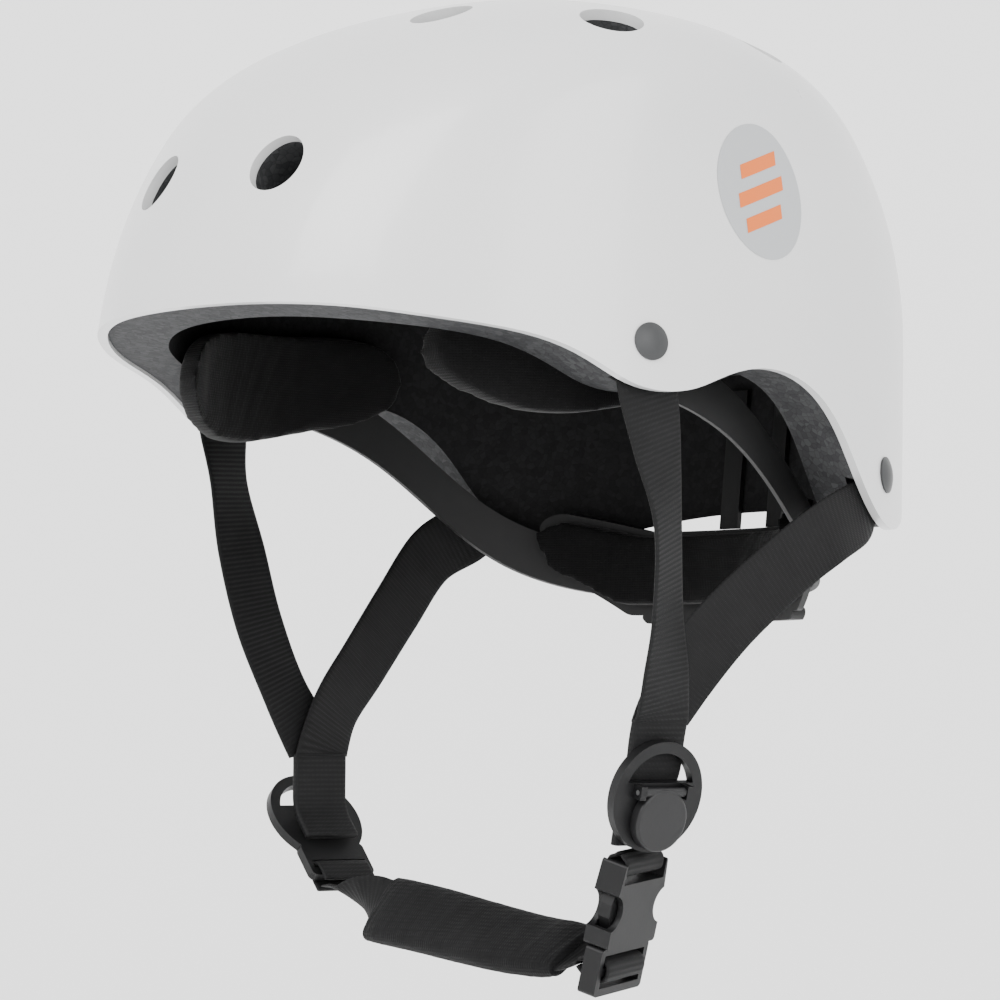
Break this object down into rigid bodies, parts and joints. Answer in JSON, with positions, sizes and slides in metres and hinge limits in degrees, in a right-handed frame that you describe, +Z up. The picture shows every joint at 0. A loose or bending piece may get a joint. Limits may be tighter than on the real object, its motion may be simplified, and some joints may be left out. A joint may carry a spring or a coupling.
{
  "type": "water sports helmet",
  "caption": "Round-shelled water sports helmet with ear cut-outs, vents, foam liner, rear cradle, Y-straps, side-release buckle and padded chin strap.",
  "frame": {"origin": "middle of the head opening, level with the front edge of the shell at the brow, where the wearer's head seats", "axes": "+Z up to the crown, -Y to the face, +X to the wearer's left"},
  "size_m": [0.2198, 0.2536, 0.2946],
  "materials": {
    "shell": "moulded ABS, smooth semi-gloss white",
    "foam": "expanded foam with fine bead texture, dark grey",
    "pad": "black brushed fabric over foam",
    "chin_fabric": "black neoprene sleeve, stitched seam",
    "webbing": "black ribbed nylon webbing",
    "cradle": "black flexible nylon",
    "dial": "black soft-touch rubber",
    "hardware": "black acetal, fine satin",
    "lock": "black acetal, satin",
    "rivet": "grey satin",
    "washer": "plain stainless",
    "pin": "plain stainless"
  },
  "bodies": {
    "helmet": {"outer_shell": "shell", "foam_liner": "foam", "strap_rivets": "rivet", "rivet_washers": "washer", "brow_pad": "pad", "rear_pad": "pad", "side_pad_left": "pad", "side_pad_right": "pad", "crown_pad": "pad", "cradle_arm_left": "cradle", "cradle_arm_right": "cradle", "cradle_plugs": "cradle", "cradle_hanger_left": "cradle", "cradle_hanger_right": "cradle", "strap_front_left": "webbing", "strap_back_left": "webbing", "strap_front_right": "webbing", "strap_back_right": "webbing"},
    "harness": {"divider_frame_left": "hardware", "divider_frame_right": "hardware", "lock_pins": "pin", "strap_loop_left": "webbing", "strap_loop_right": "webbing", "buckle_wrap": "webbing", "buckle_female": "hardware", "chin_loop": "webbing", "chin_strap": "webbing"},
    "male_half": {"buckle_male": "hardware", "ladder_wrap": "webbing", "chin_pad": "chin_fabric"},
    "prong_front": {"buckle_prong_front": "hardware"},
    "prong_back": {"buckle_prong_back": "hardware"},
    "lock_left": {"divider_lock_left": "lock"},
    "lock_right": {"divider_lock_right": "lock"},
    "rear_cradle": {"occipital_yoke": "cradle", "occipital_pad": "pad", "dial_housing": "cradle"},
    "dial": {"fit_dial": "dial", "dial_pinion": "cradle"}
  },
  "joints": [
    {"name": "harness_swing", "type": "hinge", "parent": "helmet", "child": "harness", "pos_m": [0, -0.00149, -0.02], "axis": [1, 0, 0], "range_deg": [-4, 22], "deforming": ["strap_front_left", "strap_back_left", "strap_front_right", "strap_back_right"]},
    {"name": "buckle_release", "type": "slide", "parent": "harness", "child": "male_half", "axis": [-0.309, 0, -0.9511], "range_m": [0, 0.02], "deforming": ["chin_strap"]},
    {"name": "prong_front_squeeze", "type": "hinge", "parent": "male_half", "child": "prong_front", "pos_m": [0.0693, -0.00913, -0.17997], "axis": [-0.9045, -0.309, 0.2939], "range_deg": [0, 6], "stiffness_Nm_per_rad": 0.05},
    {"name": "prong_back_squeeze", "type": "hinge", "parent": "male_half", "child": "prong_back", "pos_m": [0.06489, 0.00513, -0.17854], "axis": [0.9045, 0.309, -0.2939], "range_deg": [0, 6], "stiffness_Nm_per_rad": 0.05},
    {"name": "lock_left_open", "type": "hinge", "parent": "harness", "child": "lock_left", "pos_m": [0.08724, -0.002, -0.13645], "axis": [0, -1, 0], "range_deg": [0, 75]},
    {"name": "lock_right_open", "type": "hinge", "parent": "harness", "child": "lock_right", "pos_m": [-0.09331, 0.004, -0.14723], "axis": [0, 1, 0], "range_deg": [0, 75]},
    {"name": "cradle_adjust", "type": "slide", "parent": "helmet", "child": "rear_cradle", "axis": [0, -1, 0], "range_m": [-0.005, 0.008], "deforming": ["cradle_arm_left", "cradle_arm_right", "cradle_hanger_left", "cradle_hanger_right"]},
    {"name": "dial_turn", "type": "hinge", "parent": "rear_cradle", "child": "dial", "pos_m": [0, 0.10758, -0.068], "axis": [0, 1, 0], "range_deg": [-80, 125]}
  ],
  "couplings": [
    {"joint": "prong_back_squeeze", "follows": "prong_front_squeeze", "ratio": 1},
    {"joint": "dial_turn", "follows": "cradle_adjust", "rad_per_m": 260}
  ]
}
